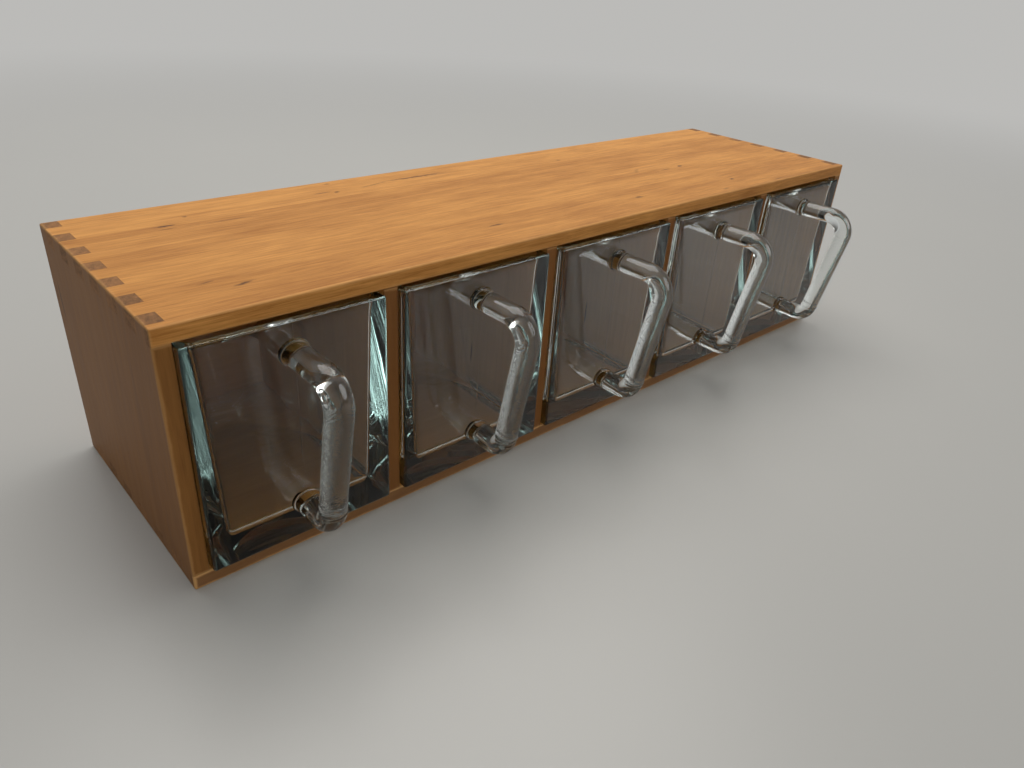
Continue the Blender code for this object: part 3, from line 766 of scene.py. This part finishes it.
def scoop_bowl():
    """The bowl, closed all round."""
    bm = bmesh.new()
    rings = [ring_edges(bm, ring) for ring in levels]
    for lower, upper in zip(rings, rings[1:]):
        bmesh.ops.bridge_loops(bm, edges=lower + upper)
    for end in (rings[0], rings[-1]):
        bmesh.ops.holes_fill(bm, edges=end, sides=0)
    return bm


bowl = scoop_bowl()
print("bowl:", len(bowl.faces), "faces")

# %% [markdown]
# ## Handle
#
# The handle is drawn from the same gob: a bent rod, a little wider than deep, whose two feet flare where
# they run into the front. A curve with a bevel could make the rod, but not the join. So the tall front
# face of the bowl is taken out and filled again round two foot ovals. The upper oval is then pulled out,
# spun round both bends and brought back to the lower one, and the whole scoop is one closed skin, as the
# real one is. A low ring marks the lower end of the grip.

# %% Rod handle grown from the front of the bowl
ROD_WIDTH, ROD_DEPTH, ROD_SIDES = 0.0136, 0.011, 40
UPPER_FOOT_DROP, LOWER_FOOT_RISE = 0.0147, 0.0203
UPPER_ARM, LOWER_ARM = 0.0385, 0.0238
UPPER_BEND, LOWER_BEND, BEND_STEPS = 0.012, 0.0085, 14
FLARE, FLARE_LENGTH, FLARE_STEPS = 0.0009, 0.002, 5
RING_TO_KNEE, RING_RISE, RING_REACH, RING_STEPS = 0.0082, 0.0003, 0.0009, 8

UPPER_FOOT = Vector((0.0, 0.0, SCOOP_HEIGHT - UPPER_FOOT_DROP))
LOWER_FOOT = Vector((0.0, 0.0, LOWER_FOOT_RISE))
UPPER_KNEE = UPPER_FOOT - Vector((0.0, UPPER_ARM, 0.0))
LOWER_KNEE = LOWER_FOOT - Vector((0.0, LOWER_ARM, 0.0))
GRIP_WAY = (LOWER_KNEE - UPPER_KNEE).normalized()
GRIP_RING = LOWER_KNEE - GRIP_WAY * RING_TO_KNEE


def foot_oval(bm, centre):
    """The outline of one foot on the front face."""
    verts = bmesh.ops.create_circle(bm, cap_ends=False, radius=1.0, segments=ROD_SIDES)["verts"]
    bmesh.ops.rotate(bm, verts=verts, matrix=Matrix.Rotation(math.pi / 2, 3, "X"))
    bmesh.ops.scale(bm, vec=(ROD_WIDTH / 2 + FLARE, 1.0, ROD_DEPTH / 2 + FLARE), verts=verts)
    bmesh.ops.translate(bm, vec=centre, verts=verts)
    return once(edge for vert in verts for edge in vert.link_edges)


def middle_of(edges):
    """The middle of a ring."""
    verts = once(vert for edge in edges for vert in edge.verts)
    return sum((vert.co for vert in verts), Vector()) / len(verts)


def carry(bm, edges, move):
    """Extrude the rod's end ring and move the new one."""
    grown = bmesh.ops.extrude_edge_only(bm, edges=edges)["geom"]
    verts = [item for item in grown if isinstance(item, bmesh.types.BMVert)]
    bmesh.ops.translate(bm, vec=move, verts=verts)
    return verts, [item for item in grown if isinstance(item, bmesh.types.BMEdge)
                   and item.verts[0] in verts and item.verts[1] in verts]


def resize(bm, verts, centre, before, after):
    """Change a foot ring from one flare to another."""
    share = Vector(((ROD_WIDTH / 2 + after) / (ROD_WIDTH / 2 + before), 1.0,
                    (ROD_DEPTH / 2 + after) / (ROD_DEPTH / 2 + before)))
    bmesh.ops.scale(bm, vec=share, verts=verts, space=Matrix.Translation(-centre))


def flare(bm, edges, centre, outward):
    """Neck of a foot: from the wide oval to the rod, or back again."""
    turns = quarter(FLARE_STEPS)
    steps = list(zip(turns, turns[1:]))
    for before, after in (steps if outward else [(b, a) for a, b in reversed(steps)]):
        out = FLARE_LENGTH * (math.sin(after) - math.sin(before))
        verts, edges = carry(bm, edges, Vector((0.0, -out, 0.0)))
        resize(bm, verts, centre, FLARE * math.cos(before), FLARE * math.cos(after))
    return edges


def spin_bend(bm, edges, knee, before, after, radius):
    """Carry the rod's end ring round a bend."""
    way_in, way_out = (knee - before).normalized(), (after - knee).normalized()
    turn = way_in.angle(way_out)
    start = knee - way_in * radius * math.tan(turn / 2)
    centre = start + Matrix.Rotation(math.pi / 2, 3, "X") @ way_in * radius
    verts, ring = carry(bm, edges, start - middle_of(edges))
    spun = bmesh.ops.spin(bm, geom=verts + ring, cent=centre, axis=(1.0, 0.0, 0.0), angle=turn,
                          steps=BEND_STEPS)
    return [item for item in spun["geom_last"] if isinstance(item, bmesh.types.BMEdge)]


def ring_round_rod(bm, edges):
    """A low ring round the rod, where the grip ends."""
    before = ROD_DEPTH / 2
    for index in range(RING_STEPS + 1):
        share = index / RING_STEPS
        spot = GRIP_RING + GRIP_WAY * RING_REACH * (2 * share - 1)
        verts, edges = carry(bm, edges, spot - middle_of(edges))
        after = ROD_DEPTH / 2 + RING_RISE * math.sin(math.pi * share) ** 2
        bmesh.ops.scale(bm, vec=Vector((1.0, 1.0, 1.0)) * after / before, verts=verts,
                        space=Matrix.Translation(-spot))
        before = after
    return edges


# %% The handle joins the bowl
STRAIGHT_AHEAD = -0.99


def rank(face):
    """A number for each face, from its three first points: extruding leaves their order to chance."""
    first, second, third = sorted(vert.index for vert in face.verts)[:3]
    return (first * len(bowl.verts) + second) * len(bowl.verts) + third


bowl.normal_update()
front_face = max((face for face in bowl.faces if face.normal.y < STRAIGHT_AHEAD),
                 key=lambda face: face.calc_area())
opening = front_face.edges[:]
bmesh.ops.delete(bowl, geom=[front_face], context="FACES_ONLY")
upper_oval = foot_oval(bowl, UPPER_FOOT)
lower_oval = foot_oval(bowl, LOWER_FOOT)
bmesh.ops.triangle_fill(bowl, use_beauty=True, use_dissolve=False, edges=opening + upper_oval + lower_oval,
                        normal=(0.0, -1.0, 0.0))
end_ring = flare(bowl, upper_oval, UPPER_FOOT, True)
end_ring = spin_bend(bowl, end_ring, UPPER_KNEE, UPPER_FOOT, LOWER_KNEE, UPPER_BEND)
end_ring = ring_round_rod(bowl, end_ring)
end_ring = spin_bend(bowl, end_ring, LOWER_KNEE, UPPER_KNEE, LOWER_FOOT, LOWER_BEND)
neck = LOWER_FOOT - Vector((0.0, FLARE_LENGTH, 0.0))
_, end_ring = carry(bowl, end_ring, neck - middle_of(end_ring))
flare(bowl, end_ring, LOWER_FOOT, False)
bmesh.ops.remove_doubles(bowl, verts=bowl.verts, dist=TOUCH)
bmesh.ops.recalc_face_normals(bowl, faces=bowl.faces)
bowl.verts.index_update()
bowl.faces.sort(key=rank)
print("scoop:", len(bowl.faces), "faces,", sum(not edge.is_manifold for edge in bowl.edges), "open edges")

# %% [markdown]
# ## Pressed glass
#
# The glass is clear at the front and sea-green along its edges, because there the eye looks through ten
# or twenty times as much of it. So the tint isn't painted on: it is a weak absorption inside the volume,
# and the thickness does the rest. The grip of the rod is stippled, so that it doesn't slip in the hand,
# while its arms are clear. A mould seam runs down the middle of the front and along the rod. Stipple and
# seam are bumps.

# %% Glass material
STIPPLE, RIPPLE, SMEARS = (1050.0, 1050.0, 900.0), (55.0, 40.0, 38.0), (45.0, 60.0, 24.0)
# Heights in millimetres.
STIPPLE_HEIGHT, GRIP_HEIGHT, RIPPLE_HEIGHT, SEAM_HEIGHT = 0.13, 0.06, 0.04, 0.06
GRIP_ROUGHNESS, SMEAR_ROUGHNESS, SMEAR_EDGE = 0.04, 0.04, (0.50, 0.80)
CLEAR_BEND, GRIP_FADE, RING_FADE = 0.011, 0.006, 0.0006
BEFORE_FRONT = (0.010, 0.008)
SEAM_EDGE, SEAM_START = (0.0001, 0.0004), (0.0030, 0.0025)
TINT, TINT_DENSITY = (0.70, 0.91, 0.89, 1.0), 7.0
CLEAR, GLASS_IOR = (0.985, 1.0, 0.995, 1.0), 1.52
MILLIMETRE = 0.001

pitch = (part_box("glass_drawer_2")[0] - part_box("glass_drawer_1")[0]).x
scoop_corner = Vector((0.0, FRONT - GLASS_PROUD, scoop_low.z))
GRIP_LENGTH = (UPPER_KNEE - GRIP_RING).length - CLEAR_BEND
glass, tree, shader = new_material("pressed glass", display_colour=(0.80, 0.88, 0.86))
spot = add_node(tree, "TexCoord").outputs["Object"]
place = split(tree, spot)
ahead = step_between(tree, place["Y"], *(scoop_corner.y - gap for gap in BEFORE_FRONT), 1.0, 0.0)
from_ring = add_node(tree, "VectorMath", {0: spot, 1: scoop_corner + GRIP_RING}, operation="SUBTRACT")
up_grip = add_node(tree, "VectorMath", {0: from_ring.outputs[0], 1: -GRIP_WAY},
                   operation="DOT_PRODUCT").outputs["Value"]
on_grip = product(tree, ahead, step_between(tree, up_grip, RING_REACH, RING_REACH + RING_FADE),
                  step_between(tree, up_grip, GRIP_LENGTH - GRIP_FADE, GRIP_LENGTH, 1.0, 0.0))
stipple = add_node(tree, "TexVoronoi", {
    "Vector": in_waves(tree, spot, STIPPLE), "Scale": 1.0, "Randomness": 0.8}).outputs["Distance"]
ripple = noise(tree, spot, RIPPLE, detail=1.0)
from_middle = calculate(tree, "ABSOLUTE", calculate(tree, "SUBTRACT", calculate(
    tree, "FLOORED_MODULO", calculate(tree, "ADD", place["X"], pitch / 2), pitch), pitch / 2))
on_face = step_between(tree, place["Y"], *(FRONT - gap for gap in SEAM_START), 1.0, 0.0)
seam = product(tree, step_between(tree, from_middle, *SEAM_EDGE, 1.0, 0.0), on_face)
skin = linear(tree, stipple, STIPPLE_HEIGHT, GRIP_HEIGHT)
skin = product(tree, skin, on_grip)
skin = linear(tree, ripple, RIPPLE_HEIGHT, skin)
skin = linear(tree, seam, SEAM_HEIGHT, skin)
bump = add_node(tree, "Bump", {"Height": skin, "Strength": 1.0, "Distance": MILLIMETRE})
smears = noise(tree, spot, SMEARS, detail=5.0, roughness=0.6)
smears = step_between(tree, smears, *SMEAR_EDGE, 0.0, SMEAR_ROUGHNESS)
fill(shader, {"Base Color": CLEAR, "IOR": GLASS_IOR, "Transmission Weight": 1.0, "Normal": bump.outputs[0],
              "Roughness": linear(tree, on_grip, GRIP_ROUGHNESS, smears)})
tint = add_node(tree, "VolumeAbsorption", {"Color": TINT, "Density": TINT_DENSITY})
fill(tree.nodes["Material Output"], {"Volume": tint.outputs[0]})
print("glass tint halves red light in", round(math.log(2) / (TINT_DENSITY * (1 - TINT[0])), 3), "m")

# %% Five scoops on their bodies
for index in range(1, 6):
    node = f"glass_drawer_{index}"
    low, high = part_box(node)
    bm = bowl.copy()
    bmesh.ops.translate(bm, vec=((low.x + high.x) / 2, scoop_corner.y, low.z), verts=bm.verts)
    finish_piece(bm, f"glass_scoop_{index}", glass, f"drawer_{index}", node)
bowl.free()

# %% [markdown]
# ## Studio
#
# Clear glass shows what stands around it, so the room is part of the look: a pale floor with a faint
# gloss, one soft light from above and behind, and a sky that is brighter in front. Light bounces many
# times inside thick glass, so the light paths are allowed to run longer.
#
# A pale floor mirrored in a glass front would drown the brown wood behind it, and a rod without a bright
# edge looks grey. In a studio one would hold a dark card before the front and a white card beside the
# rod. Here the floor plays both cards: it is dimmer for a ray that a front mirrored, and whiter for one
# that went into glass and out again. A bright window at the front right, which only mirrors and glass
# see, sets the sparks on the rods.
#
# Far from the lamp a floor goes dark. To keep the background pale, the floor fades with distance into a
# plain glow that only the eye, mirrors and glass see, and the world shows them the same tone. Neither
# lights the object.

# %% Floor
FLOOR_RADIUS, FLOOR_SIDES, FLOOR_ROUGHNESS = 40.0, 96, 0.35
FADE = (0.5, 1.8)
PALE = (0.50, 0.495, 0.48, 1.0)
DIM = (0.10, 0.097, 0.092, 1.0)
STONES = (0.45, 0.45, 0.437, 1.0), (0.49, 0.485, 0.468, 1.0)
CLOUDY = (2.0, 2.0, 2.0)
WHITE_CARD, CARD_GLOW, GLOW_SHARE = (0.82, 0.82, 0.805, 1.0), (0.75, 0.75, 0.735, 1.0), 0.6
# Where the cards lie: they start before the front, the dark one thins out to the right, the white one ends.
CARD_START = 0.04
DARK_SPAN, DARK_SHARES = (-0.1, 0.4), (0.80, 0.30)
WHITE_END = (0.27, 0.35)


def seen_directly(tree):
    """1 for rays from the camera, off a mirror or through glass, 0 for those that light a dull surface."""
    ray = add_node(tree, "LightPath").outputs
    seen = calculate(tree, "MAXIMUM", ray["Is Camera Ray"], ray["Is Glossy Ray"])
    seen = calculate(tree, "MAXIMUM", seen, ray["Is Transmission Ray"])
    return product(tree, seen, calculate(tree, "LESS_THAN", ray["Diffuse Depth"], 0.5))


bm = bmesh.new()
bmesh.ops.create_circle(bm, cap_ends=True, radius=FLOOR_RADIUS, segments=FLOOR_SIDES)
mesh = bpy.data.meshes.new("floor")
bm.to_mesh(mesh)
bm.free()
floor = bpy.data.objects.new("floor", mesh)
scene.collection.objects.link(floor)
floor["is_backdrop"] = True
pale, tree, shader = new_material("pale floor", display_colour=PALE[:3])
spot = add_node(tree, "TexCoord").outputs["Object"]
stone = blend_colours(tree, noise(tree, spot, CLOUDY, detail=3.0), *STONES)
place = split(tree, spot)
in_front = step_between(tree, place["Y"], FRONT - CARD_START, FRONT, 1.0, 0.0)
dark_card = product(tree, in_front, step_between(tree, place["X"], *DARK_SPAN, *DARK_SHARES))
white_card = product(tree, in_front, step_between(tree, place["X"], *WHITE_END, 1.0, 0.0))

# Depths count whole bounces, so half a bounce tells them apart.
seen = seen_directly(tree)
ray = add_node(tree, "LightPath").outputs
# A ray that was mirrored inside a scoop went through its front twice, and still sees the pale floor.
mirrored = product(tree, seen, calculate(tree, "COMPARE", ray["Glossy Depth"], 1.0, 0.5),
                   calculate(tree, "LESS_THAN", ray["Transmission Depth"], 2.5))
stone = blend_colours(tree, product(tree, dark_card, mirrored), stone, DIM)
# A ray that passed two faces of glass and no mirror came through one wall or one rod.
through = product(tree, white_card, seen, calculate(tree, "COMPARE", ray["Transmission Depth"], 2.0, 0.5),
                  calculate(tree, "LESS_THAN", ray["Glossy Depth"], 0.5))
stone = blend_colours(tree, through, stone, WHITE_CARD)
fill(shader, {"Base Color": stone, "Roughness": FLOOR_ROUGHNESS})

away = add_node(tree, "VectorMath", {0: spot}, operation="LENGTH").outputs["Value"]
far = product(tree, step_between(tree, away, *FADE), seen)
surface = shader.outputs[0]
for share, colour in ((far, PALE), (product(tree, through, GLOW_SHARE), CARD_GLOW)):
    glow = add_node(tree, "Emission", {"Color": colour, "Strength": 1.0}).outputs[0]
    surface = add_node(tree, "MixShader", {0: share, 1: surface, 2: glow}).outputs[0]
fill(tree.nodes["Material Output"], {"Surface": surface})
mesh.materials.append(pale)
print("floor is", round(2 * FLOOR_RADIUS), "m across")


# %% Key light
def soft_light(name, place, target, width, height, watts, colour):
    """A rectangular soft box aimed at a point."""
    lamp = bpy.data.lights.new(name, "AREA")
    lamp.shape = "RECTANGLE"
    lamp.size, lamp.size_y = width, height
    lamp.energy = watts
    lamp.color = colour
    made = bpy.data.objects.new(name, lamp)
    made.location = place
    made.rotation_euler = (Vector(target) - Vector(place)).to_track_quat("-Z", "Y").to_euler()
    made.visible_camera = False
    scene.collection.objects.link(made)


KEY_PLACE, KEY_TARGET = (0.25, 0.45, 1.55), (0.0, 0.0, 0.06)
KEY_WIDTH, KEY_HEIGHT, KEY_WATTS, KEY_COLOUR = 1.6, 1.2, 20.0, (1.0, 0.97, 0.92)
soft_light("key", KEY_PLACE, KEY_TARGET, KEY_WIDTH, KEY_HEIGHT, KEY_WATTS, KEY_COLOUR)
print("key light of", KEY_WATTS, "W")

# %% World
FRONT_SKY, BACK_SKY = (0.52, 0.51, 0.49, 1.0), (0.16, 0.175, 0.19, 1.0)
SKY_TURN = (-0.4, 0.4)
# Lamp light is mostly lost on its way through glass, so the sky is stronger for rays that came through it.
SKY_THROUGH_GLASS = 1.8
WINDOW_WAY = Vector((0.62, -0.62, 0.48)).normalized()
WINDOW, WINDOW_EDGE = (3.6, 3.6, 3.5, 1.0), (0.93, 0.96)

world = bpy.data.worlds.new("studio")
world.use_nodes = True
tree = world.node_tree
sky = tree.nodes["Background"]
way = add_node(tree, "TexCoord").outputs["Generated"]
behind = step_between(tree, split(tree, way)["Y"], *SKY_TURN)
fill(sky, {"Color": blend_colours(tree, behind, FRONT_SKY, BACK_SKY)})
ray = add_node(tree, "LightPath").outputs
in_view = ray["Is Camera Ray"]
fill(sky, {"Strength": linear(tree, ray["Is Transmission Ray"], SKY_THROUGH_GLASS, 1.0)})
walls = blend_colours(tree, calculate(tree, "MAXIMUM", behind, in_view), DIM, PALE)
toward = add_node(tree, "VectorMath", {0: way, 1: WINDOW_WAY},
                  operation="DOT_PRODUCT").outputs["Value"]
pane = product(tree, step_between(tree, toward, *WINDOW_EDGE), calculate(tree, "SUBTRACT", 1.0, in_view))
walls = blend_colours(tree, pane, walls, WINDOW)
distance = add_node(tree, "Background", {"Color": walls, "Strength": 1.0})
view = add_node(tree, "MixShader", {
    0: seen_directly(tree), 1: sky.outputs[0], 2: distance.outputs[0]})
fill(tree.nodes["World Output"], {"Surface": view.outputs[0]})
scene.world = world
scene.cycles.max_bounces = 24
scene.cycles.transmission_bounces = 20
scene.cycles.glossy_bounces = 12
print("pale world, light paths up to", scene.cycles.max_bounces, "bounces")

# %% [markdown]
# ## Size
#
# The dressed model has to stay inside the imported one, so its box is measured and its size printed.

# %% Measure the dressed model
low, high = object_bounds()
print("dressed model:", [round(side, 4) for side in high - low], "m")
